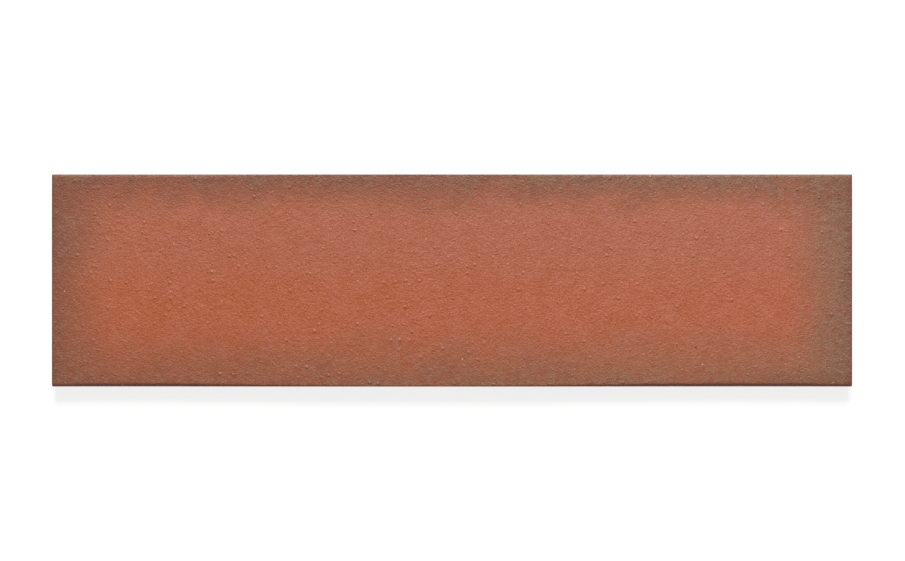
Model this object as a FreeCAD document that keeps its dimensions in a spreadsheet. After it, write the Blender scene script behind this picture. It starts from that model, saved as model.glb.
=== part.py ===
import FreeCAD, Part
import math
import os

import Sketcher

# Clinker brick slip: one clay body, extruded through a die, cut to length and fired.
#
# Millimetres. The slip lies on its back with its face up. The origin is the centre of the back, +X runs
# along the length, +Y up the height of a laid course, and +Z out of the face.

# Driving dimensions: the alias in the sheet, its millimetres, and what it measures.
DIMENSIONS = [
    ("length", 245, "along the course, from end to end"),
    ("height", 65, "up the course, from bed to bed"),
    ("thickness", 6.5, "from the back to the face"),
    ("bed_arris", 1.0, "radius worn on the face's two long edges"),
    ("end_arris", 0.5, "radius round each cut end, over the face and down both beds"),
    ("groove_mouth", 3.6, "width of a keying groove at the back"),
    ("groove_floor", 4.2, "width of a keying groove at its floor, undercut to hold adhesive"),
    ("groove_depth", 1.0, "depth of a keying groove"),
    ("groove_pitch", 7.6, "from the middle of one groove to the middle of the next"),
    ("edge_land", 3.5, "least plain back outside the outermost groove"),
]

# The grooves lie in equal numbers either side of the middle, so the middle of the back is always a land.
GROOVE_COUNT = "2 * floor((dims.height / 2 - dims.edge_land - dims.groove_mouth / 2) / dims.groove_pitch + 0.5)"
OUTERMOST_GROOVE = f"({GROOVE_COUNT} - 1) / 2 * dims.groove_pitch"

NEAR = 1e-3  # mm within which an edge lies on the plane it is looked for on
VOLUME_TOLERANCE = 1e-6  # share of the clay that the grooves take by which that volume may differ

# How constraints name a line's two ends, and the sketch's own origin and horizontal axis.
START, END = 1, 2
ORIGIN = (-1, 1)
HORIZONTAL_AXIS = -1


def add_sheet(doc):
    """The spreadsheet that every size in the model is bound to."""
    sheet = doc.addObject("Spreadsheet::Sheet", "dims")
    for row, (alias, millimetres, meaning) in enumerate(DIMENSIONS, start=1):
        sheet.set(f"A{row}", alias)
        sheet.set(f"B{row}", str(millimetres))
        sheet.set(f"C{row}", meaning)
        sheet.setAlias(f"B{row}", alias)
    doc.recompute()
    return sheet


def origin_feature(body, role):
    """One of the body's own origin planes or axes."""
    return next(feature for feature in body.Origin.OriginFeatures if feature.Role == role)


def add_sketch(body, name, plane):
    """An empty sketch on one of the body's origin planes."""
    sketch = body.newObject("Sketcher::SketchObject", name)
    sketch.AttachmentSupport = [(origin_feature(body, plane), "")]
    sketch.MapMode = "FlatFace"
    return sketch


def add_line(sketch, start, end, construction=False):
    """A straight line between two points of the sketch."""
    return sketch.addGeometry(Part.LineSegment(FreeCAD.Vector(*start), FreeCAD.Vector(*end)), construction)


def constrain(sketch, kind, *places):
    """A constraint that holds geometry together and has no size."""
    sketch.addConstraint(Sketcher.Constraint(kind, *places))


def constrain_size(sketch, name, kind, start, end, expression):
    """A named dimension between two points, bound to the sheet."""
    index = sketch.addConstraint(Sketcher.Constraint(kind, *start, *end, 1.0))
    sketch.renameConstraint(index, name)
    sketch.setExpression(f"Constraints.{name}", expression)


def add_outline(sketch, corners):
    """A closed outline from corner to corner, counter-clockwise from its lower left."""
    lines = [add_line(sketch, here, there) for here, there in zip(corners, corners[1:] + corners[:1])]
    for line, following in zip(lines, lines[1:] + lines[:1]):
        constrain(sketch, "Coincident", line, END, following, START)
    return lines


def add_block(body, sheet):
    """The clay column cut to length, as a plain block with its back on z = 0."""
    sketch = add_sketch(body, "outline", "XY_Plane")
    x, y = sheet.length / 2, sheet.height / 2
    lower, right, upper, left = add_outline(sketch, [(-x, -y, 0), (x, -y, 0), (x, y, 0), (-x, y, 0)])
    for line in (lower, upper):
        constrain(sketch, "Horizontal", line)
    for line in (right, left):
        constrain(sketch, "Vertical", line)
    constrain(sketch, "Symmetric", lower, START, upper, START, *ORIGIN)
    constrain_size(sketch, "length", "DistanceX", (lower, START), (lower, END), "dims.length")
    constrain_size(sketch, "height", "DistanceY", (right, START), (right, END), "dims.height")

    block = body.newObject("PartDesign::Pad", "block")
    block.Profile = sketch
    block.setExpression("Length", "dims.thickness")
    return block


def add_arrises(body, base, name, is_worn):
    """Rounded edges, where the test of an edge's box says so, to the radius of that name in the sheet."""
    edges = enumerate(base.Shape.Edges, start=1)
    arrises = body.newObject("PartDesign::Fillet", f"{name}es")
    arrises.Base = (base, [f"Edge{number}" for number, edge in edges if is_worn(edge.BoundBox)])
    arrises.setExpression("Radius", f"dims.{name}")
    return arrises


def add_grooves(body, sheet):
    """The keying grooves that the die leaves along the whole back."""
    sketch = add_sketch(body, "groove_section", "YZ_Plane")
    mouth, floor, depth = sheet.groove_mouth / 2, sheet.groove_floor / 2, sheet.groove_depth
    corners = [(-mouth, 0, 0), (mouth, 0, 0), (floor, depth, 0), (-floor, depth, 0)]
    opening, _, bottom, _ = add_outline(sketch, corners)
    middle = add_line(sketch, (0, 0, 0), (0, depth, 0), construction=True)
    constrain(sketch, "Vertical", middle)
    constrain(sketch, "PointOnObject", middle, START, HORIZONTAL_AXIS)
    constrain(sketch, "Symmetric", opening, START, opening, END, middle, START)
    constrain(sketch, "Symmetric", bottom, START, bottom, END, middle, END)
    constrain(sketch, "Horizontal", opening)
    constrain(sketch, "Horizontal", bottom)
    constrain_size(sketch, "mouth", "DistanceX", (opening, START), (opening, END), "dims.groove_mouth")
    constrain_size(sketch, "floor", "DistanceX", (bottom, END), (bottom, START), "dims.groove_floor")
    constrain_size(sketch, "depth", "DistanceY", (middle, START), (middle, END), "dims.groove_depth")
    constrain_size(sketch, "outermost", "DistanceX", ORIGIN, (middle, START), OUTERMOST_GROOVE)

    groove = body.newObject("PartDesign::Pocket", "groove")
    groove.Profile = sketch
    groove.SideType = "Symmetric"
    groove.setExpression("Length", "2 * dims.length")

    grooves = body.newObject("PartDesign::LinearPattern", "grooves")
    grooves.Originals = [groove]
    grooves.Direction = (origin_feature(body, "Y_Axis"), [""])
    grooves.Reversed = True
    grooves.Mode = "Spacing"
    grooves.setExpression("Offset", "dims.groove_pitch")
    grooves.setExpression("Occurrences", GROOVE_COUNT)
    body.Tip = grooves
    return grooves


def check_grooves(ungrooved, grooves, sheet):
    """Every groove has to have cut its whole section out of the clay, from end to end."""
    section = (sheet.groove_mouth + sheet.groove_floor) / 2 * sheet.groove_depth
    expected = grooves.Occurrences * section * sheet.length
    removed = ungrooved.Shape.Volume - grooves.Shape.Volume
    if not math.isclose(removed, expected, rel_tol=VOLUME_TOLERANCE):
        raise RuntimeError(f"the grooves took {removed:.1f} mm3 of clay, and should take {expected:.1f}")


def add_brick_slip(doc, sheet):
    """The slip's one fired body."""
    body = doc.addObject("PartDesign::Body", "brick_slip")
    body.Label = "brick_slip"
    body.Placement = FreeCAD.Placement()

    def is_bed_arris(box):
        return box.ZMin > sheet.thickness - NEAR and abs(abs(box.Center.y) - sheet.height / 2) < NEAR

    def is_end_arris(box):
        return box.ZMax > NEAR and abs(abs(box.Center.x) - sheet.length / 2) < NEAR

    block = add_block(body, sheet)
    doc.recompute()
    bed_arrises = add_arrises(body, block, "bed_arris", is_bed_arris)
    doc.recompute()
    end_arrises = add_arrises(body, bed_arrises, "end_arris", is_end_arris)
    grooves = add_grooves(body, sheet)
    doc.recompute()
    check_grooves(end_arrises, grooves, sheet)
    return body


def check_document(doc):
    """Recompute can leave an object failed without raising, so each one's state is read."""
    for item in doc.Objects:
        if {"Invalid", "Error"} & set(item.State):
            raise RuntimeError(f"{item.Label} failed: {item.State}")


def export(body):
    """The body as one STEP file named after it."""
    if body.Shape.isNull() or not body.Shape.isValid():
        raise RuntimeError(f"{body.Label} has no valid shape")
    os.makedirs("parts", exist_ok=True)
    body.Shape.exportStep(f"parts/{body.Label}.step")


def main():
    doc = FreeCAD.newDocument("brick_slip")
    sheet = add_sheet(doc)
    slip = add_brick_slip(doc, sheet)
    doc.recompute()
    check_document(doc)
    export(slip)


main()
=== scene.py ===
import math

import bpy
from bpy.props import FloatProperty, FloatVectorProperty, IntProperty, PointerProperty
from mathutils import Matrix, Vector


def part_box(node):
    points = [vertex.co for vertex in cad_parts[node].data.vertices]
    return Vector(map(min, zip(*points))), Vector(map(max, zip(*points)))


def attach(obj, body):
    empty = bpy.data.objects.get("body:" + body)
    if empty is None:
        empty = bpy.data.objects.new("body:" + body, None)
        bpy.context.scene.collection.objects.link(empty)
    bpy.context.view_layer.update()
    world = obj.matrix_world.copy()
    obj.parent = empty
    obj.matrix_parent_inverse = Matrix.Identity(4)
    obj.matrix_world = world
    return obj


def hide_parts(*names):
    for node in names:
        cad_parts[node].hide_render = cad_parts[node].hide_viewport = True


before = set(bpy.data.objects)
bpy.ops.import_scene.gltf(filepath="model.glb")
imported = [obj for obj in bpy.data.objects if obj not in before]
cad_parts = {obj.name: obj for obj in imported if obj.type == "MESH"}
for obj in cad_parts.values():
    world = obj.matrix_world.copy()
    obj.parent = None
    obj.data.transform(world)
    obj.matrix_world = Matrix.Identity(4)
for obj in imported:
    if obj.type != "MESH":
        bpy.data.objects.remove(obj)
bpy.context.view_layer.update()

bl_info = {
    "name": "Clinker brick slip",
    "version": (1, 0, 0),
    "blender": (4, 5, 0),
    "location": "3D View > Sidebar > Brick slip",
    "description": "A fired clinker brick slip and the plain studio that it lies in",
    "category": "Object",
}

NODE = "brick_slip"  # the node of the frame that the piece stands for
BODY = "root"  # the one body of a part with no joints
LOW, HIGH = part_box(NODE)
MM = 0.001


def linear(hex_colour):
    """An sRGB hex colour, such as B0684F, as linear red, green and blue."""
    channels = [int(hex_colour[i : i + 2], 16) / 255 for i in (0, 2, 4)]
    return [c / 12.92 if c <= 0.04045 else ((c + 0.055) / 1.055) ** 2.4 for c in channels]


def add_node(tree, kind, inputs=None, **settings):
    """Adds a node, sets its properties, and gives each input a value or a link from a node or a socket."""
    node = tree.nodes.new(kind)
    for name, value in settings.items():
        setattr(node, name, value)
    live = [socket for socket in node.inputs if socket.enabled]
    for key, value in (inputs or {}).items():
        socket = live[key] if isinstance(key, int) else next(s for s in live if s.name == key)
        for source in value if isinstance(value, list) else [value]:
            if isinstance(source, bpy.types.Node):
                source = next(s for s in source.outputs if s.enabled)
            if isinstance(source, bpy.types.NodeSocket):
                tree.links.new(source, socket)
            else:
                socket.default_value = source
    return node


def size(name, description, default):
    """A length in metres that a user may change."""
    return FloatProperty(name=name, description=description, default=default, unit="LENGTH", precision=5)


def colour(name, description, hex_colour):
    """A colour that a user may change."""
    return FloatVectorProperty(
        name=name, description=description, default=linear(hex_colour), subtype="COLOR", min=0, max=1
    )


class SlipShape(bpy.types.PropertyGroup):
    """Sizes of the slip's body. Each is an input of the node tree that makes it."""

    length: size("Length", "From end to end", HIGH.x - LOW.x)
    height: size("Height", "From bed to bed", HIGH.y - LOW.y)
    thickness: size("Thickness", "From the back to the face", HIGH.z - LOW.z)
    wide_arris: size("Wide arris", "The most that a long edge may be worn", 1.1 * MM)
    narrow_arris: size("Narrow arris", "The least that a long edge may be worn", 0.12 * MM)
    narrow_at: size("Narrow at", "Where along the length the arris is narrowest", -10 * MM)
    end_arris: size("End arris", "Rounding of the cut ends", 0.5 * MM)
    groove_mouth: size("Groove mouth", "Width of a keying groove at the back", 3.6 * MM)
    groove_floor: size("Groove floor", "Width of a keying groove at its floor", 4.2 * MM)
    groove_depth: size("Groove depth", "Depth of a keying groove", 1.0 * MM)
    groove_pitch: size("Groove pitch", "From one groove to the next", 7.6 * MM)
    groove_pairs: IntProperty(name="Groove pairs", description="Grooves either side of the middle", default=4)
    mesh_step: size("Mesh step", "Spacing of the face's vertices", 0.52 * MM)
    swell_height: size("Swell height", "Rise and fall of the face's slow waves", 0.09 * MM)
    grain_height: size("Grain height", "Rise and fall of the face's coarse grain", 0.08 * MM)
    pimple_height: size("Pimple height", "How far grog stands up through the skin", 0.12 * MM)
    seed: FloatProperty(name="Seed", description="Another number gives another face", default=3.0)


class SlipColours(bpy.types.PropertyGroup):
    """Colours of the fired clay."""

    clay: colour("Clay", "The fired clay in the middle of the face", "AF572D")
    clay_pink: colour("Pink clay", "Patches where the clay fired pinker", "B66345")
    # A pale pinkish-grey veil that is mixed over the upper half of the clean clay.
    upper_veil: colour("Bloom", "The faint salt haze over the upper half", "98766F")
    flash_red: colour("Flash, red", "Flashed clay in the hollows, which stayed redder", "7E462D")
    flash_grey: colour("Flash, grey", "Flashed clay on the high grains, turned olive grey", "89664D")
    # Painted shade: the dark colour along the lower bed's edge and at the ends, which turn away from the
    # lamp.
    edge_shade: colour("Scorched clay", "Darkest clay, along the lower bed's edge and at the ends", "72321A")
    raw: colour("Raw clay", "Clay that no flame reached, on the lower bed, the ends and the back", "99553A")
    speck: colour("Pale speck", "Grains of pale sand at the surface", "D0A688")
    # Painted shade: small dark spots that stand for the shadows of pits.
    pit_shade: colour("Iron spot", "Small dark spots of iron", "5E3628")


class SlipStudio(bpy.types.PropertyGroup):
    """The lamp, the surroundings and the camera."""

    lamp_share: FloatProperty(
        name="Lamp share",
        description="The lamp's light on the face, as a share of what shows colours as written",
        default=0.7,
        subtype="FACTOR",
    )
    lamp_distance: size("Lamp distance", "From the slip to the lamp", 1.8)
    lamp_size: size("Lamp size", "Side of the square lamp", 0.6)
    lamp_elevation: FloatProperty(
        name="Lamp elevation",
        description="Height of the lamp over the upper bed's side",
        default=math.radians(45),
        subtype="ANGLE",
    )
    floor_size: size("Floor size", "Side of the square floor", 12.0)
    floor_paint: colour("Floor", "The floor's own colour", "E6E6E6")
    view_width: size("View width", "Width of the view at the face", 276.9 * MM)
    view_x: size("View X", "Where the camera stands along the slip", 0.15 * MM)
    lens: FloatProperty(name="Lens", description="Focal length", default=100.0, unit="CAMERA")


class SlipSettings(bpy.types.PropertyGroup):
    """Everything that a user may change."""

    shape: PointerProperty(type=SlipShape)
    colours: PointerProperty(type=SlipColours)
    studio: PointerProperty(type=SlipStudio)


# The body's shape

SECTION_SIZES = (
    "height",
    "thickness",
    "wide_arris",
    "groove_mouth",
    "groove_floor",
    "groove_depth",
    "groove_pitch",
    "groove_pairs",
    "mesh_step",
)
ARRIS_POINTS = 7  # round a worn edge
ARRIS_TURN = math.radians(20)  # how sharply a worn edge leaves the face and the bed
END_POINTS = 5  # round an end arris
BED_ROWS = 9  # up a bed
UPRIGHT_SHARE = 0.3  # of the end arris, which is what an end's upright corners lose
WELD = 1e-6  # metres within which two stretches' ends are one point
CREASE = math.radians(35)  # edges sharper than this are crisp

LEAST_WORN = 8 * MM  # either side of the arris's narrowest place, the wear is still at its least
MOST_WORN = 95 * MM  # and this far away it is at its most
WAVER_LENGTH = 9 * MM  # of the waver in the wear
WAVER = 0.15  # its share of the wear
SPARED = 14 * MM  # in from each end, the wear is less again
SPARED_WEAR = 0.55  # of it is left at the very end
LOWER_WEAR = (0.18, 0.78)  # along the lower bed: the least wear, and what is added where it is most
UPPER_WEAR = (0.0, 0.48)  # the same along the upper bed
WEAR_SEAM = 1 * MM  # either side of the face's middle, where one bed's wear gives way to the other's

SWELL_WIDTH = 22 * MM
GRAIN_WIDTH = 1.5 * MM
GROG_SPACING = 3.2 * MM
GROG_REACH = (0.12, 0.36)  # of that spacing, from the smallest pimple's foot to the largest's
RELIEF_TOP = 0.1 * MM  # taken off the relief's depth, so that its highest points stay at the face
BED_RELIEF = 0.25  # of the face's relief, which is what the beds have
BED_FOOT = (1 * MM, 2 * MM)  # above the back, where the beds' relief begins and where it is all there


def new_shape_tree(name, sizes):
    """A geometry tree with an input for each named size. Returns it and its inputs' sockets by property."""
    tree = bpy.data.node_groups.new(name, "GeometryNodeTree")
    for prop in sizes:
        rna = SlipShape.bl_rna.properties[prop]
        kind = "NodeSocketInt" if rna.type == "INT" else "NodeSocketFloat"
        tree.interface.new_socket(rna.name, in_out="INPUT", socket_type=kind)
    tree.interface.new_socket("Geometry", in_out="OUTPUT", socket_type="NodeSocketGeometry")
    given = add_node(tree, "NodeGroupInput").outputs
    return tree, {prop: given[i] for i, prop in enumerate(sizes)}


def mirrored_outline(tree, stretches):
    """Half an outline and its mirror image, as one curve through the points that they share."""
    half = add_node(tree, "GeometryNodeJoinGeometry", {"Geometry": stretches})
    other = add_node(tree, "GeometryNodeTransform", {"Geometry": half, "Scale": (-1, 1, 1)})
    both = add_node(tree, "GeometryNodeJoinGeometry", {"Geometry": [half, other]})
    wire = add_node(tree, "GeometryNodeCurveToMesh", {"Curve": both})
    weld = add_node(tree, "GeometryNodeMergeByDistance", {"Geometry": wire, "Distance": WELD})
    return add_node(tree, "GeometryNodeMeshToCurve", {"Mesh": weld})


def section_tree():
    """The die's opening, as a closed curve: X up the slip's height and Y through its thickness."""
    tree, given = new_shape_tree("Slip section", SECTION_SIZES)
    top = given["thickness"]
    arris = given["wide_arris"]
    pitch = given["groove_pitch"]
    side = add_node(tree, "ShaderNodeMath", {0: given["height"], 1: 0.5}, operation="MULTIPLY")
    face_end = add_node(tree, "ShaderNodeMath", {0: side, 1: arris}, operation="SUBTRACT")
    side_top = add_node(tree, "ShaderNodeMath", {0: top, 1: arris}, operation="SUBTRACT")
    # The worn edge is an arc that meets the face and the bed at ARRIS_TURN, as flat as a used edge is.
    spread = 1 / (math.cos(ARRIS_TURN) - math.sin(ARRIS_TURN))
    radius = add_node(tree, "ShaderNodeMath", {0: arris, 1: spread}, operation="MULTIPLY")
    inwards = add_node(tree, "ShaderNodeMath", {0: radius, 1: math.cos(ARRIS_TURN)}, operation="MULTIPLY")
    centre_x = add_node(tree, "ShaderNodeMath", {0: side, 1: inwards}, operation="SUBTRACT")
    centre_y = add_node(tree, "ShaderNodeMath", {0: top, 1: inwards}, operation="SUBTRACT")
    columns = add_node(tree, "ShaderNodeMath", {0: side, 1: given["mesh_step"]}, operation="DIVIDE")
    half_mouth = add_node(tree, "ShaderNodeMath", {0: given["groove_mouth"], 1: 0.5}, operation="MULTIPLY")
    half_floor = add_node(tree, "ShaderNodeMath", {0: given["groove_floor"], 1: 0.5}, operation="MULTIPLY")
    half_pitch = add_node(tree, "ShaderNodeMath", {0: pitch, 1: 0.5}, operation="MULTIPLY")
    grooved = add_node(tree, "ShaderNodeMath", {0: pitch, 1: given["groove_pairs"]}, operation="MULTIPLY")

    # The corners, in order: down the bed from the face to the back, and across half a groove.
    corners = {
        "face middle": {"Y": top},
        "face end": {"X": face_end, "Y": top},
        "arris centre": {"X": centre_x, "Y": centre_y},
        "bed top": {"X": side, "Y": side_top},
        "bed foot": {"X": side},
        "last groove": {"X": grooved},
        "groove middle": {"Y": given["groove_depth"]},
        "groove corner": {"X": half_floor, "Y": given["groove_depth"]},
        "mouth": {"X": half_mouth},
        "land": {"X": half_pitch},
        "pitch": {"X": pitch},
    }
    at = {name: add_node(tree, "ShaderNodeCombineXYZ", place) for name, place in corners.items()}
    straights = {
        (start, end): add_node(tree, "GeometryNodeCurvePrimitiveLine", {"Start": at[start], "End": at[end]})
        for start, end in (
            ("face middle", "face end"),
            ("bed top", "bed foot"),
            ("bed foot", "last groove"),
            ("groove middle", "groove corner"),
            ("groove corner", "mouth"),
            ("mouth", "land"),
        )
    }
    face, bed, edge_land, *half_groove = straights.values()
    face_points = add_node(tree, "GeometryNodeResampleCurve", {"Curve": face, "Count": columns})
    bed_points = add_node(tree, "GeometryNodeResampleCurve", {"Curve": bed, "Count": BED_ROWS})
    arc = add_node(
        tree,
        "GeometryNodeCurveArc",
        {
            "Resolution": ARRIS_POINTS,
            "Radius": radius,
            "Start Angle": ARRIS_TURN,
            "Sweep Angle": math.pi / 2 - 2 * ARRIS_TURN,
        },
        mode="RADIUS",
    )
    worn = add_node(tree, "GeometryNodeTransform", {"Geometry": arc, "Translation": at["arris centre"]})

    # One groove with half a land either side, repeated across half the back.
    middles = add_node(
        tree,
        "GeometryNodeMeshLine",
        {"Count": given["groove_pairs"], "Start Location": at["land"], "Offset": at["pitch"]},
    )
    groove = mirrored_outline(tree, half_groove)
    grooves = add_node(tree, "GeometryNodeInstanceOnPoints", {"Points": middles, "Instance": groove})
    grooves = add_node(tree, "GeometryNodeRealizeInstances", {"Geometry": grooves})

    outline = mirrored_outline(tree, [face_points, worn, bed_points, edge_land, grooves])
    add_node(tree, "NodeGroupOutput", {"Geometry": outline})
    return tree


def sweep_path(tree, given, half_length):
    """The path that carries the section from end to end.

    It runs straight along the slip at a height of the end arris's radius, and falls round each end to
    nothing. The radius less that height is how far the cut end draws the section in.
    """
    end_arris = given["end_arris"]
    flat_end = add_node(tree, "ShaderNodeMath", {0: half_length, 1: end_arris}, operation="SUBTRACT")
    stations = add_node(tree, "ShaderNodeMath", {0: half_length, 1: given["mesh_step"]}, operation="DIVIDE")
    middle = add_node(tree, "ShaderNodeCombineXYZ", {"Y": end_arris})
    turn = add_node(tree, "ShaderNodeCombineXYZ", {"X": flat_end, "Y": end_arris})
    centre = add_node(tree, "ShaderNodeCombineXYZ", {"X": flat_end})
    straight = add_node(tree, "GeometryNodeCurvePrimitiveLine", {"Start": middle, "End": turn})
    straight = add_node(tree, "GeometryNodeResampleCurve", {"Curve": straight, "Count": stations})
    quarter = add_node(
        tree,
        "GeometryNodeCurveArc",
        {"Resolution": END_POINTS, "Radius": end_arris, "Start Angle": 0.0, "Sweep Angle": math.pi / 2},
        mode="RADIUS",
    )
    end = add_node(tree, "GeometryNodeTransform", {"Geometry": quarter, "Translation": centre})
    return mirrored_outline(tree, [straight, end])


def edge_wear(tree, given, half_length, along, across):
    """How worn the nearer long edge is, as a share of the way from the narrow arris to the wide one.

    It is worn least near the middle of its length and a little less at the very ends, with a slow waver.
    """
    off = add_node(tree, "ShaderNodeMath", {0: along, 1: given["narrow_at"]}, operation="SUBTRACT")
    off = add_node(tree, "ShaderNodeMath", {0: off}, operation="ABSOLUTE")
    wear = add_node(
        tree,
        "ShaderNodeMapRange",
        {"Value": off, "From Min": LEAST_WORN, "From Max": MOST_WORN},
        interpolation_type="SMOOTHSTEP",
    )
    waver = add_node(
        tree,
        "ShaderNodeTexNoise",
        {"W": along, "Scale": 1 / WAVER_LENGTH, "Detail": 3.0},
        noise_dimensions="1D",
        normalize=False,
    )
    wear = add_node(
        tree, "ShaderNodeMath", {0: waver, 1: WAVER, 2: wear}, operation="MULTIPLY_ADD", use_clamp=True
    )
    from_middle = add_node(tree, "ShaderNodeMath", {0: along}, operation="ABSOLUTE")
    from_end = add_node(tree, "ShaderNodeMath", {0: half_length, 1: from_middle}, operation="SUBTRACT")
    spared = add_node(
        tree,
        "ShaderNodeMapRange",
        {"Value": from_end, "From Min": 0.0, "From Max": SPARED, "To Min": SPARED_WEAR, "To Max": 1.0},
    )
    wear = add_node(tree, "ShaderNodeMath", {0: wear, 1: spared}, operation="MULTIPLY")
    least, added = (
        add_node(
            tree,
            "ShaderNodeMapRange",
            {
                "Value": across,
                "From Min": -WEAR_SEAM,
                "From Max": WEAR_SEAM,
                "To Min": lower,
                "To Max": upper,
            },
        )
        for lower, upper in zip(LOWER_WEAR, UPPER_WEAR)
    )
    return add_node(tree, "ShaderNodeMath", {0: wear, 1: added, 2: least}, operation="MULTIPLY_ADD")


def fired_relief(tree, given, place):
    """How far the fired face lies below its highest points: swells, coarse grain and grog pimples."""
    swell = add_node(
        tree,
        "ShaderNodeTexNoise",
        {"Vector": place, "W": given["seed"], "Scale": 1 / SWELL_WIDTH, "Detail": 2.0},
        noise_dimensions="4D",
    )
    grain = add_node(
        tree,
        "ShaderNodeTexNoise",
        {"Vector": place, "W": given["seed"], "Scale": 1 / GRAIN_WIDTH, "Detail": 2.0, "Roughness": 0.6},
        noise_dimensions="4D",
    )
    grog = add_node(
        tree,
        "ShaderNodeTexVoronoi",
        {"Vector": place, "W": given["seed"], "Scale": 1 / GROG_SPACING},
        voronoi_dimensions="4D",
    )
    # Each cell's own random colour decides how large its pimple is.
    smallest, largest = GROG_REACH
    foot = add_node(
        tree,
        "ShaderNodeMapRange",
        {"Value": grog.outputs["Color"], "From Min": 0.3, "To Min": smallest, "To Max": largest},
    )
    pimple = add_node(
        tree,
        "ShaderNodeMapRange",
        {"Value": grog.outputs["Distance"], "From Max": foot},
        interpolation_type="SMOOTHSTEP",
    )
    depth = 0.0
    for pattern, prop in ((swell, "swell_height"), (grain, "grain_height"), (pimple, "pimple_height")):
        depth = add_node(
            tree, "ShaderNodeMath", {0: pattern, 1: given[prop], 2: depth}, operation="MULTIPLY_ADD"
        )
    return add_node(tree, "ShaderNodeMath", {0: depth, 1: RELIEF_TOP}, operation="SUBTRACT", use_clamp=True)


def body_tree(material):
    """The section swept from end to end, worn at its edges, with the fired face's relief pressed in."""
    tree, given = new_shape_tree("Clinker slip", list(SlipShape.__annotations__))
    end_arris = given["end_arris"]
    half_length = add_node(tree, "ShaderNodeMath", {0: given["length"], 1: 0.5}, operation="MULTIPLY")
    half_height = add_node(tree, "ShaderNodeMath", {0: given["height"], 1: 0.5}, operation="MULTIPLY")
    path = sweep_path(tree, given, half_length)

    # Each point of the sweep keeps its place on the path, and in a wide-arris and a narrow-arris section.
    section = section_tree()
    wide, narrow = (add_node(tree, "GeometryNodeGroup", node_tree=section) for _ in range(2))
    for group, arris in ((wide, "wide_arris"), (narrow, "narrow_arris")):
        for i, prop in enumerate(SECTION_SIZES):
            tree.links.new(given[arris if prop == "wide_arris" else prop], group.inputs[i])
    place = add_node(tree, "GeometryNodeInputPosition").outputs[0]
    index = add_node(tree, "GeometryNodeInputIndex")
    narrow_place = add_node(
        tree, "GeometryNodeSampleIndex", {"Geometry": narrow, "Index": index}, data_type="FLOAT_VECTOR"
    )
    tree.links.new(place, narrow_place.inputs["Value"])
    on_path = add_node(tree, "GeometryNodeCaptureAttribute", {"Geometry": path})
    on_section = add_node(tree, "GeometryNodeCaptureAttribute", {"Geometry": wide})
    for keeper, name, field in (
        (on_path, "path", place),
        (on_section, "wide", place),
        (on_section, "narrow", narrow_place.outputs[0]),
    ):
        keeper.capture_items.new("VECTOR", name)
        tree.links.new(field, keeper.inputs[name])
    sweep = add_node(
        tree, "GeometryNodeCurveToMesh", {"Curve": on_path, "Profile Curve": on_section, "Fill Caps": True}
    )

    # Each point goes between its places in the two sections by its wear, and is drawn in round the cut ends.
    along = add_node(tree, "ShaderNodeSeparateXYZ", {"Vector": on_path.outputs["path"]}).outputs
    across = add_node(tree, "ShaderNodeSeparateXYZ", {"Vector": on_section.outputs["wide"]}).outputs
    wear = edge_wear(tree, given, half_length, along["X"], across["X"])
    worn = add_node(
        tree,
        "ShaderNodeMix",
        {"Factor": wear, "A": on_section.outputs["narrow"], "B": on_section.outputs["wide"]},
        data_type="VECTOR",
    )
    worn = add_node(tree, "ShaderNodeSeparateXYZ", {"Vector": worn}).outputs
    inset = add_node(tree, "ShaderNodeMath", {0: end_arris, 1: along["Y"]}, operation="SUBTRACT")
    in_height = add_node(tree, "ShaderNodeMath", {0: inset, 1: half_height}, operation="DIVIDE")
    in_height = add_node(
        tree, "ShaderNodeMath", {0: in_height, 1: -UPRIGHT_SHARE, 2: 1.0}, operation="MULTIPLY_ADD"
    )
    in_depth = add_node(tree, "ShaderNodeMath", {0: inset, 1: given["thickness"]}, operation="DIVIDE")
    in_depth = add_node(tree, "ShaderNodeMath", {0: 1.0, 1: in_depth}, operation="SUBTRACT")
    y = add_node(tree, "ShaderNodeMath", {0: worn["X"], 1: in_height}, operation="MULTIPLY")
    z = add_node(tree, "ShaderNodeMath", {0: worn["Y"], 1: in_depth}, operation="MULTIPLY")
    seat = add_node(tree, "ShaderNodeCombineXYZ", {"X": along["X"], "Y": y, "Z": z})
    body = add_node(tree, "GeometryNodeSetPosition", {"Geometry": sweep, "Position": seat})
    body = add_node(tree, "GeometryNodeFlipFaces", {"Mesh": body})

    # The drop below the face, kept for the material before the relief moves anything.
    drop = add_node(tree, "ShaderNodeMath", {0: given["thickness"], 1: z}, operation="SUBTRACT")
    body = add_node(
        tree,
        "GeometryNodeStoreNamedAttribute",
        {"Geometry": body, "Name": "drop", "Value": drop},
        data_type="FLOAT",
        domain="POINT",
    )

    # The relief only ever sinks, and only on the face and the beds, so the slip keeps its size and its back
    # stays flat.
    depth = fired_relief(tree, given, place)
    foot, full = BED_FOOT
    off_back = add_node(tree, "ShaderNodeMapRange", {"Value": worn["Y"], "From Min": foot, "From Max": full})
    depth = add_node(tree, "ShaderNodeMath", {0: depth, 1: off_back}, operation="MULTIPLY")
    on_bed = add_node(tree, "ShaderNodeMath", {0: depth, 1: BED_RELIEF}, operation="MULTIPLY")
    outwards = add_node(tree, "GeometryNodeInputNormal")
    facing = add_node(tree, "ShaderNodeSeparateXYZ", {"Vector": outwards}).outputs
    sink_y = add_node(tree, "ShaderNodeMath", {0: facing["Y"], 1: on_bed}, operation="MULTIPLY")
    sink_z = add_node(tree, "ShaderNodeMath", {0: facing["Z"], 1: depth}, operation="MULTIPLY")
    sink_z = add_node(tree, "ShaderNodeMath", {0: sink_z, 1: 0.0}, operation="MAXIMUM")
    sink = add_node(tree, "ShaderNodeCombineXYZ", {"Y": sink_y, "Z": sink_z})
    sink = add_node(tree, "ShaderNodeVectorMath", {0: sink, 1: (-1, -1, -1)}, operation="MULTIPLY")
    body = add_node(tree, "GeometryNodeSetPosition", {"Geometry": body, "Offset": sink})

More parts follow.
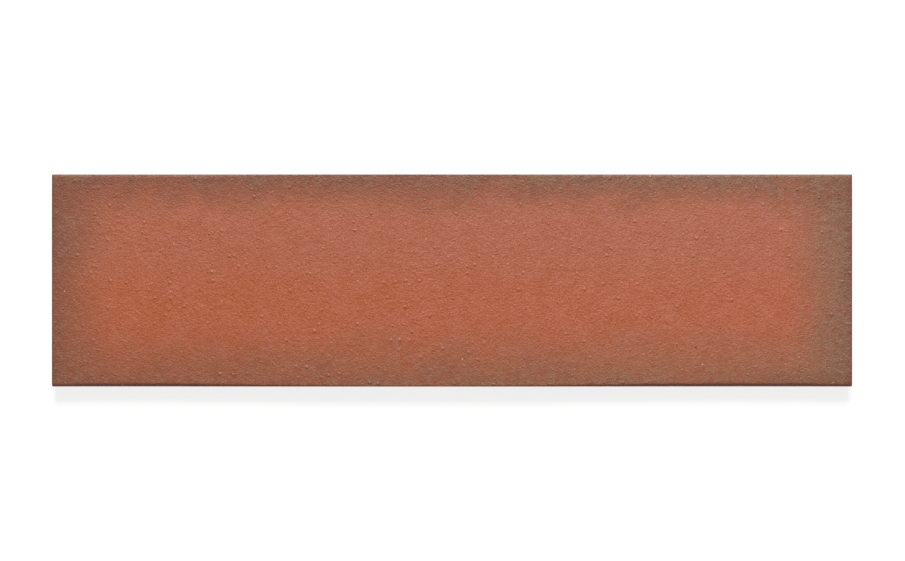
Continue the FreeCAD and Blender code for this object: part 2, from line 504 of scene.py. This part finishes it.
    # Smooth across the face and the worn edges, crisp at the cut ends' rims and the grooves.
    body = add_node(tree, "GeometryNodeSetShadeSmooth", {"Geometry": body}, domain="FACE")
    angle = add_node(tree, "GeometryNodeInputMeshEdgeAngle")
    soft = add_node(tree, "ShaderNodeMath", {0: angle, 1: CREASE}, operation="LESS_THAN")
    body = add_node(
        tree, "GeometryNodeSetShadeSmooth", {"Geometry": body, "Shade Smooth": soft}, domain="EDGE"
    )
    body = add_node(tree, "GeometryNodeRealizeInstances", {"Geometry": body})
    body = add_node(tree, "GeometryNodeSetMaterial", {"Geometry": body, "Material": material})
    add_node(tree, "NodeGroupOutput", {"Geometry": body})
    return tree


# The clay. A flash is given by how far in from its edge it begins to fade, and how far in it has gone.

LEFT_FLASH = (-3.1 * MM, 21 * MM)
RIGHT_FLASH = (0 * MM, 22 * MM)
LOWER_FLASH = (-9 * MM, 23 * MM)
UPPER_FLASH = (-1.5 * MM, 14.7 * MM)
FRONT_WIDTH = 12 * MM  # of the waves in a flash's front
FRONT_REACH = 3 * MM  # about how far they carry it
PATCHINESS = 1.2  # of a flash's front, where the grit takes it and the hollows do not

GRIT_WIDTH = 0.5 * MM
GRIT_HEIGHT = 0.05 * MM
LEATHER_WIDTH = 1.6 * MM
LEATHER_HEIGHT = 0.05 * MM
GRAINS = ((2.6 * MM, 0.36), (1.3 * MM, 0.5))  # the spacing of each size of grain, and its domes' steepness
GRAIN_REACH = (0.12, 0.33)  # of that spacing, from the smallest dome's foot to the largest's
# The domes' tops are painted paler, partly as a painted highlight where the lamp catches them.
GRAIN_PALENESS_AND_HIGHLIGHT = 2.5  # times a dome's reach is how far its top goes from the hollows' tone to the high one
MOTTLE_WIDTH = 5 * MM
SOOT_WIDTH = 1.8 * MM
SPECKS = (1.6 * MM, 0.82)  # the spacing of their cells, and the random value above which a cell holds one
# Painted shade: dark spots that stand for the shadows of pits.
PIT_SHADE_SPOTS = (3.4 * MM, 0.9)

DRAG_LENGTH = 25 * MM
DRAG_WIDTH = 1.1 * MM
TEAR_LENGTH = 5 * MM
TEAR_WIDTH = 0.9 * MM
LINE_HEIGHT = 0.16 * MM
LINE_TONE = 1.2  # how much more a line shows in the colour than the grit does
SKIN = (0.6 * MM, 1.5 * MM)  # below the face, where the beds' and ends' lines begin and are all there
# Partly the clay's own tone and partly painted light: hollows are darkened as painted shade, and what stands
# up is paled as a painted highlight.
HOLLOW_TONE_AND_SHADE = (0.9, 0.8, 0.72, 1)  # what the clay's colour is multiplied by in hollows
HIGH_TONE_AND_SHEEN = (1.1, 1.2, 1.28, 1)  # and where it stands up


def cleared_tree(owner):
    """The node tree of a material or a world, with nothing in it yet."""
    owner.use_nodes = True
    owner.node_tree.nodes.clear()
    return owner.node_tree


def flash_fronts(tree, place, half_length, half_height):
    """The share of the clay that no flash reached, and the share of it that the upper edge's flash left."""
    wander = add_node(
        tree,
        "ShaderNodeTexNoise",
        {"Vector": place, "Scale": 1 / FRONT_WIDTH, "Detail": 3.0, "Roughness": 0.6},
        normalize=False,
    )
    edge = add_node(
        tree,
        "ShaderNodeVectorMath",
        {0: wander.outputs["Color"], 1: (FRONT_REACH,) * 3, 2: place},
        operation="MULTIPLY_ADD",
    )
    # X and Y count here, and the Z of each range is only there to fill its place.
    from_low = add_node(
        tree,
        "ShaderNodeMapRange",
        {
            "Vector": edge,
            "From Min": (LEFT_FLASH[0] - half_length, LOWER_FLASH[0] - half_height, -1.0),
            "From Max": (LEFT_FLASH[1] - half_length, LOWER_FLASH[1] - half_height, -0.5),
        },
        data_type="FLOAT_VECTOR",
        interpolation_type="SMOOTHSTEP",
    )
    from_high = add_node(
        tree,
        "ShaderNodeMapRange",
        {
            "Vector": edge,
            "From Min": (half_length - RIGHT_FLASH[0], half_height - UPPER_FLASH[0], 1.0),
            "From Max": (half_length - RIGHT_FLASH[1], half_height - UPPER_FLASH[1], 0.5),
        },
        data_type="FLOAT_VECTOR",
        interpolation_type="SMOOTHSTEP",
    )
    clean = add_node(tree, "ShaderNodeVectorMath", {0: from_low, 1: from_high}, operation="MULTIPLY")
    clean = add_node(tree, "ShaderNodeSeparateXYZ", {"Vector": clean}).outputs
    clean = add_node(tree, "ShaderNodeMath", {0: clean["X"], 1: clean["Y"]}, operation="MULTIPLY")
    upper = add_node(tree, "ShaderNodeSeparateXYZ", {"Vector": from_high}).outputs["Y"]
    return clean, upper


def clean_clay(tree, place, across, colours):
    """Unflashed clay, mottled orange and pink, pinker to the right, with a haze over its upper half."""
    mottle = add_node(
        tree,
        "ShaderNodeTexNoise",
        {"Vector": place, "Scale": 1 / MOTTLE_WIDTH, "Detail": 4.0, "Roughness": 0.7},
        normalize=False,
    )
    pinker = add_node(
        tree,
        "ShaderNodeMapRange",
        {"Value": across["X"], "From Min": -70 * MM, "From Max": 70 * MM, "To Min": 0.2, "To Max": 0.6},
    )
    pinker = add_node(
        tree, "ShaderNodeMath", {0: mottle, 1: 0.45, 2: pinker}, operation="MULTIPLY_ADD", use_clamp=True
    )
    clay = add_node(
        tree,
        "ShaderNodeMix",
        {"Factor": pinker, "A": (*colours.clay, 1), "B": (*colours.clay_pink, 1)},
        data_type="RGBA",
    )
    haze = add_node(
        tree,
        "ShaderNodeMapRange",
        {"Value": across["Y"], "From Min": -6 * MM, "From Max": 12 * MM, "To Max": 0.13},
        interpolation_type="SMOOTHSTEP",
    )
    return add_node(
        tree, "ShaderNodeMix", {"Factor": haze, "A": clay, "B": (*colours.upper_veil, 1)}, data_type="RGBA"
    )


def flashed_clay(tree, place, across, upper, shape, colours):
    """Flashed clay, mottled between red brown and olive grey, and darkened at the ends with painted shade.

    It is greyer to the right, and redder where the upper edge's flash fades.
    """
    greyer = add_node(
        tree,
        "ShaderNodeMapRange",
        {"Value": across["X"], "From Min": -90 * MM, "From Max": 100 * MM, "To Min": 0.15, "To Max": 0.7},
    )
    fading = add_node(tree, "ShaderNodeMath", {0: 1.0, 1: upper}, operation="SUBTRACT")
    fading = add_node(tree, "ShaderNodeMath", {0: fading, 1: upper}, operation="MULTIPLY")
    greyer = add_node(tree, "ShaderNodeMath", {0: fading, 1: -1.25, 2: greyer}, operation="MULTIPLY_ADD")
    soot = add_node(
        tree,
        "ShaderNodeTexNoise",
        {"Vector": place, "Scale": 1 / SOOT_WIDTH, "Detail": 3.0, "Roughness": 0.8},
        normalize=False,
    )
    greyer = add_node(
        tree, "ShaderNodeMath", {0: soot, 1: 0.5, 2: greyer}, operation="MULTIPLY_ADD", use_clamp=True
    )
    flashed = add_node(
        tree,
        "ShaderNodeMix",
        {"Factor": greyer, "A": (*colours.flash_red, 1), "B": (*colours.flash_grey, 1)},
        data_type="RGBA",
    )

    # Painted shade: the last few millimetres at each end are darker, and so is the lower right corner,
    # towards its bed, where the edges turn away from the lamp.
    half_length = shape.length / 2
    half_height = shape.height / 2
    reach_out = add_node(tree, "ShaderNodeMath", {0: across["X"]}, operation="ABSOLUTE")
    end_shade = add_node(
        tree,
        "ShaderNodeMapRange",
        {
            "Value": reach_out,
            "From Min": half_length - 3 * MM,
            "From Max": half_length - 0.5 * MM,
            "To Max": 0.3,
        },
    )
    rightwards = add_node(
        tree, "ShaderNodeMapRange", {"Value": across["X"], "From Min": 50 * MM, "From Max": half_length}
    )
    downwards = add_node(
        tree,
        "ShaderNodeMapRange",
        {
            "Value": across["Y"],
            "From Min": 6 * MM - half_height,
            "From Max": 1 * MM - half_height,
            "To Max": 0.55,
        },
    )
    painted_shade = add_node(
        tree, "ShaderNodeMath", {0: downwards, 1: rightwards, 2: end_shade}, operation="MULTIPLY_ADD"
    )
    return add_node(
        tree,
        "ShaderNodeMix",
        {"Factor": painted_shade, "A": flashed, "B": (*colours.edge_shade, 1)},
        data_type="RGBA",
    )


def raw_over(tree, skin, across, drop, half_height, colours):
    """The skin's colour, with raw clay below the face except near the upper bed, which the flame reached, and
    painted shade on the edges just below the face.
    """
    below = add_node(
        tree, "ShaderNodeMapRange", {"Value": drop, "From Min": 0.01 * MM, "From Max": 0.06 * MM}
    )
    sheltered = add_node(
        tree,
        "ShaderNodeMapRange",
        {"Value": across["Y"], "From Min": half_height - 0.4 * MM, "From Max": half_height - 1.4 * MM},
    )
    raw = add_node(tree, "ShaderNodeMath", {0: below, 1: sheltered}, operation="MULTIPLY")
    # Just below the face, the bare clay is darkened with painted shade, which fades to the raw clay further
    # down.
    deep = add_node(tree, "ShaderNodeMapRange", {"Value": drop, "From Min": 0.5 * MM, "From Max": 2.5 * MM})
    raw_and_shade = add_node(
        tree,
        "ShaderNodeMix",
        {"Factor": deep, "A": (*colours.edge_shade, 1), "B": (*colours.raw, 1)},
        data_type="RGBA",
    )
    return add_node(tree, "ShaderNodeMix", {"Factor": raw, "A": skin, "B": raw_and_shade}, data_type="RGBA")


def tool_lines(tree, place, across, drop, half_length):
    """Lines that the die dragged along the beds and the back, and that the wire tore down the cut ends.

    Both are finer than this on a real slip, and are drawn as coarse as they need to be to show.
    """
    dragged = add_node(
        tree,
        "ShaderNodeVectorMath",
        {0: place, 1: (1 / DRAG_LENGTH, 1 / DRAG_WIDTH, 1 / DRAG_WIDTH)},
        operation="MULTIPLY",
    )
    torn = add_node(
        tree,
        "ShaderNodeVectorMath",
        {0: place, 1: (0, 1 / TEAR_WIDTH, 1 / TEAR_LENGTH)},
        operation="MULTIPLY",
    )
    drag, tear = (
        add_node(tree, "ShaderNodeTexNoise", {"Vector": stretched, "Scale": 1.0}, normalize=False)
        for stretched in (dragged, torn)
    )
    reach_out = add_node(tree, "ShaderNodeMath", {0: across["X"]}, operation="ABSOLUTE")
    at_end = add_node(
        tree, "ShaderNodeMath", {0: reach_out, 1: half_length - 0.05 * MM}, operation="GREATER_THAN"
    )
    lines = add_node(tree, "ShaderNodeMix", {"Factor": at_end, "A": drag, "B": tear}, data_type="FLOAT")
    skin_ends, all_there = SKIN
    off_face = add_node(
        tree, "ShaderNodeMapRange", {"Value": drop, "From Min": skin_ends, "From Max": all_there}
    )
    return add_node(tree, "ShaderNodeMath", {0: lines, 1: off_face}, operation="MULTIPLY")


def grain_domes(tree, place):
    """Domes where grains of sand and grog stand up: their height in metres, and how much paler they are
    painted, partly as a painted highlight.
    """
    height = 0.0
    pale = 0.0
    smallest, largest = GRAIN_REACH
    for spacing, steepness in GRAINS:
        cells = add_node(tree, "ShaderNodeTexVoronoi", {"Vector": place, "Scale": 1 / spacing})
        foot = add_node(
            tree,
            "ShaderNodeMapRange",
            {"Value": cells.outputs["Color"], "From Min": 0.3, "To Min": smallest, "To Max": largest},
        )
        dome = add_node(
            tree,
            "ShaderNodeMapRange",
            {"Value": cells.outputs["Distance"], "From Max": foot, "To Min": foot, "To Max": 0.0},
            interpolation_type="SMOOTHSTEP",
        )
        height = add_node(
            tree, "ShaderNodeMath", {0: dome, 1: steepness * spacing, 2: height}, operation="MULTIPLY_ADD"
        )
        pale = add_node(
            tree, "ShaderNodeMath", {0: dome, 1: GRAIN_PALENESS_AND_HIGHLIGHT, 2: pale}, operation="MULTIPLY_ADD"
        )
    return height, pale


def sprinkled(tree, place, skin, spread, paint):
    """The skin with spots of another colour sprinkled over it."""
    spacing, rarity = spread
    cells = add_node(tree, "ShaderNodeTexVoronoi", {"Vector": place, "Scale": 1 / spacing})
    foot = add_node(
        tree, "ShaderNodeMapRange", {"Value": cells.outputs["Color"], "From Min": rarity, "To Max": 0.22}
    )
    spot = add_node(tree, "ShaderNodeMath", {0: foot, 1: cells.outputs["Distance"]}, operation="SUBTRACT")
    spot = add_node(tree, "ShaderNodeMapRange", {"Value": spot, "From Max": 0.05, "To Max": 0.8})
    return add_node(
        tree, "ShaderNodeMix", {"Factor": spot, "A": skin, "B": (*paint, 1)}, data_type="RGBA"
    )


def clay_material(shape, colours):
    """Fired clinker clay, pushed through a die, wire cut and flashed in the kiln.

    Unglazed and dense, so it has only a dull sheen. The face is red-orange in the middle and flashed
    grey-brown towards its edges, sand and grog make it gritty, and the lower bed, the ends and the back
    stay redder.
    """
    material = bpy.data.materials.new("clinker_clay_flashed")
    tree = cleared_tree(material)
    place = add_node(tree, "ShaderNodeTexCoord").outputs["Object"]
    across = add_node(tree, "ShaderNodeSeparateXYZ", {"Vector": place}).outputs
    drop = add_node(tree, "ShaderNodeAttribute", attribute_name="drop").outputs["Fac"]
    half_length = shape.length / 2
    half_height = shape.height / 2
    grit = add_node(
        tree,
        "ShaderNodeTexNoise",
        {"Vector": place, "Scale": 1 / GRIT_WIDTH, "Detail": 2.0, "Roughness": 0.65},
        normalize=False,
    )
    leather = add_node(
        tree,
        "ShaderNodeTexNoise",
        {"Vector": place, "Scale": 1 / LEATHER_WIDTH, "Detail": 1.0},
        normalize=False,
    )

    # Each flash fades through a front where the grit has taken it and the hollows have stayed red.
    clean, upper = flash_fronts(tree, place, half_length, half_height)
    flash = add_node(tree, "ShaderNodeMath", {0: 1.0, 1: clean}, operation="SUBTRACT")
    patchy = add_node(tree, "ShaderNodeMath", {0: flash, 1: clean}, operation="MULTIPLY")
    patchy = add_node(tree, "ShaderNodeMath", {0: patchy, 1: grit}, operation="MULTIPLY")
    flash = add_node(
        tree, "ShaderNodeMath", {0: patchy, 1: PATCHINESS, 2: flash}, operation="MULTIPLY_ADD", use_clamp=True
    )
    clay = clean_clay(tree, place, across, colours)
    flashed = flashed_clay(tree, place, across, upper, shape, colours)
    skin = add_node(tree, "ShaderNodeMix", {"Factor": flash, "A": clay, "B": flashed}, data_type="RGBA")
    skin = raw_over(tree, skin, across, drop, half_height, colours)

    # The relief that is too fine for the mesh.
    lines = tool_lines(tree, place, across, drop, half_length)
    height, pale = grain_domes(tree, place)
    for pattern, rise in ((grit, GRIT_HEIGHT), (leather, LEATHER_HEIGHT), (lines, LINE_HEIGHT)):
        height = add_node(
            tree, "ShaderNodeMath", {0: pattern, 1: rise, 2: height}, operation="MULTIPLY_ADD"
        )
    bump = add_node(tree, "ShaderNodeBump", {"Height": height, "Distance": 1.0, "Strength": 1.0})

    # What stands up is paler and greyer, partly as a painted highlight, and hollows are darker and redder,
    # partly as painted shade.
    # Pale sand and small dark spots of painted shade show here and there.
    high = add_node(tree, "ShaderNodeMath", {0: lines, 1: LINE_TONE, 2: grit}, operation="MULTIPLY_ADD")
    high = add_node(tree, "ShaderNodeMath", {0: high, 1: pale}, operation="ADD")
    relief = add_node(
        tree, "ShaderNodeMapRange", {"Value": high, "From Min": -0.5, "From Max": 0.5}, clamp=False
    )
    tone = add_node(
        tree,
        "ShaderNodeMix",
        {"Factor": relief, "A": HOLLOW_TONE_AND_SHADE, "B": HIGH_TONE_AND_SHEEN},
        data_type="RGBA",
        clamp_factor=False,
    )
    skin = add_node(
        tree, "ShaderNodeMix", {"Factor": 1.0, "A": skin, "B": tone}, data_type="RGBA", blend_type="MULTIPLY"
    )
    skin = sprinkled(tree, place, skin, SPECKS, colours.speck)
    # Painted shade: small dark spots that stand for the shadows of pits.
    skin = sprinkled(tree, place, skin, PIT_SHADE_SPOTS, colours.pit_shade)

    # The flash leaves a slightly closer surface.
    rough = add_node(tree, "ShaderNodeMapRange", {"Value": flash, "To Min": 0.5, "To Max": 0.45})
    shader = add_node(
        tree, "ShaderNodeBsdfPrincipled", {"Base Color": skin, "Roughness": rough, "Normal": bump}
    )
    add_node(tree, "ShaderNodeOutputMaterial", {"Surface": shader})
    return material


# The studio

# Painted shadow: where the floor is closed in near the slip, its own glow is dimmed.
SHADOW_REACH = 30 * MM  # how far round the slip the floor's own glow is dimmer


def seen_share(tree):
    """1 for what the camera sees, itself or in gloss and glass, and 0 for the light that falls on things."""
    path = add_node(tree, "ShaderNodeLightPath").outputs
    seen = add_node(
        tree, "ShaderNodeMath", {0: path["Is Camera Ray"], 1: path["Is Glossy Ray"]}, operation="ADD"
    )
    return add_node(
        tree, "ShaderNodeMath", {0: seen, 1: path["Is Transmission Ray"]}, operation="ADD", use_clamp=True
    )


def floor_material(paint):
    """Matt white paint. It clips to white where it is lit, and the slip's shadow on it stays faint."""
    material = bpy.data.materials.new("matt_white_paint_rolled")
    tree = cleared_tree(material)
    bounce = add_node(tree, "ShaderNodeBsdfDiffuse", {"Color": (*paint, 1)})
    # What the camera sees is a darker paint with a glow of its own, so that a shadow dims it only a little.
    shown = add_node(tree, "ShaderNodeBsdfDiffuse", {"Color": (0.3, 0.3, 0.3, 1)})
    # Painted shadow: the glow fades where the floor is closed in, as in the tunnels under the back's grooves.
    sky = add_node(tree, "ShaderNodeAmbientOcclusion", {"Distance": SHADOW_REACH}, samples=8)
    level = add_node(
        tree,
        "ShaderNodeMapRange",
        {"Value": sky.outputs["AO"], "From Min": 0.05, "From Max": 0.4, "To Max": 0.8},
    )
    glow = add_node(tree, "ShaderNodeEmission", {"Color": (1, 1, 1, 1), "Strength": level})
    shown = add_node(tree, "ShaderNodeAddShader", {0: shown, 1: glow})
    both = add_node(tree, "ShaderNodeMixShader", {0: seen_share(tree), 1: bounce, 2: shown})
    add_node(tree, "ShaderNodeOutputMaterial", {"Surface": both})
    return material


def white_world(strength):
    """Even light of the given strength, which the camera and reflections see at full strength.

    It has the Background node's own colour, a light grey of 0.8.
    """
    world = bpy.data.worlds.new("studio_white")
    tree = cleared_tree(world)
    seen = seen_share(tree)
    level = add_node(tree, "ShaderNodeMapRange", {"Value": seen, "To Min": strength, "To Max": 1.0})
    light = add_node(tree, "ShaderNodeBackground", {"Strength": level})
    add_node(tree, "ShaderNodeOutputWorld", {"Surface": light})
    return world


def add_object(name, data):
    """Adds an object to the scene, at the origin."""
    obj = bpy.data.objects.new(name, data)
    bpy.context.scene.collection.objects.link(obj)
    return obj


class MakeSlip(bpy.types.Operator):
    """Makes the fired clay slip from its section, and gives it its clay"""

    bl_idname = "brick_slip.make_slip"
    bl_label = "Make the slip"

    def execute(self, context):
        shape = context.scene.brick_slip.shape
        material = clay_material(shape, context.scene.brick_slip.colours)
        tree = body_tree(material)
        piece = add_object("clinker_slip", bpy.data.meshes.new("clinker_slip"))
        modifier = piece.modifiers.new("Sweep", "NODES")
        modifier.node_group = tree
        inputs = [item for item in tree.interface.items_tree if item.in_out == "INPUT"]
        for prop, item in zip(SlipShape.__annotations__, inputs):
            modifier[item.identifier] = getattr(shape, prop)
        evaluated = piece.evaluated_get(context.evaluated_depsgraph_get())
        mesh = bpy.data.meshes.new_from_object(evaluated)
        piece.modifiers.remove(modifier)
        piece.data = mesh
        if len(mesh.polygons) == 0:
            raise RuntimeError("the sweep made no faces")
        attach(piece, BODY)
        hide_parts(NODE)
        return {"FINISHED"}


class MakeStudio(bpy.types.Operator):
    """Makes the floor, the lamp, the surroundings and the camera"""

    bl_idname = "brick_slip.make_studio"
    bl_label = "Make the studio"

    def execute(self, context):
        scene = context.scene
        studio = scene.brick_slip.studio
        half = studio.floor_size / 2
        mesh = bpy.data.meshes.new("studio_floor")
        corners = [(-half, -half, LOW.z), (half, -half, LOW.z), (half, half, LOW.z), (-half, half, LOW.z)]
        mesh.from_pydata(corners, [], [(0, 1, 2, 3)])
        mesh.materials.append(floor_material(studio.floor_paint))
        add_object("studio_floor", mesh)

        lamp = bpy.data.lights.new("studio_lamp", "AREA")
        lamp.size = studio.lamp_size
        rise = math.sin(studio.lamp_elevation)
        out = math.cos(studio.lamp_elevation)
        # A square lamp of P watts puts P / (pi r^2) on what faces it at r metres, and a face under an
        # irradiance of pi shows its colour as written.
        lamp.energy = studio.lamp_share * math.pi**2 * studio.lamp_distance**2 / rise
        holder = add_object("studio_lamp", lamp)
        holder.location = (0, out * studio.lamp_distance, HIGH.z + rise * studio.lamp_distance)
        holder.rotation_euler = (studio.lamp_elevation - math.pi / 2, 0, 0)

        scene.world = white_world(1 - studio.lamp_share)
        camera = bpy.data.cameras.new("camera")
        camera.lens = studio.lens
        camera.clip_start = 0.01
        stand = add_object("camera", camera)
        stand.location = (studio.view_x, 0, HIGH.z + studio.view_width * camera.lens / camera.sensor_width)
        scene.camera = stand
        scene.view_settings.view_transform = "Standard"
        return {"FINISHED"}


class SlipPanel(bpy.types.Panel):
    """Lists the slip's sizes and colours, and what makes it"""

    bl_idname = "VIEW3D_PT_brick_slip"
    bl_label = "Brick slip"
    bl_space_type = "VIEW_3D"
    bl_region_type = "UI"
    bl_category = "Brick slip"

    def draw(self, context):
        settings = context.scene.brick_slip
        for group in (settings.shape, settings.colours, settings.studio):
            box = self.layout.box()
            for prop in group.__annotations__:
                box.prop(group, prop)
        self.layout.operator(MakeSlip.bl_idname)
        self.layout.operator(MakeStudio.bl_idname)


CLASSES = (SlipShape, SlipColours, SlipStudio, SlipSettings, MakeSlip, MakeStudio, SlipPanel)


def register():
    for cls in CLASSES:
        bpy.utils.register_class(cls)
    bpy.types.Scene.brick_slip = PointerProperty(type=SlipSettings)


def unregister():
    del bpy.types.Scene.brick_slip
    for cls in reversed(CLASSES):
        bpy.utils.unregister_class(cls)


def main():
    register()
    bpy.ops.brick_slip.make_slip()
    bpy.ops.brick_slip.make_studio()


if __name__ == "__main__":
    main()
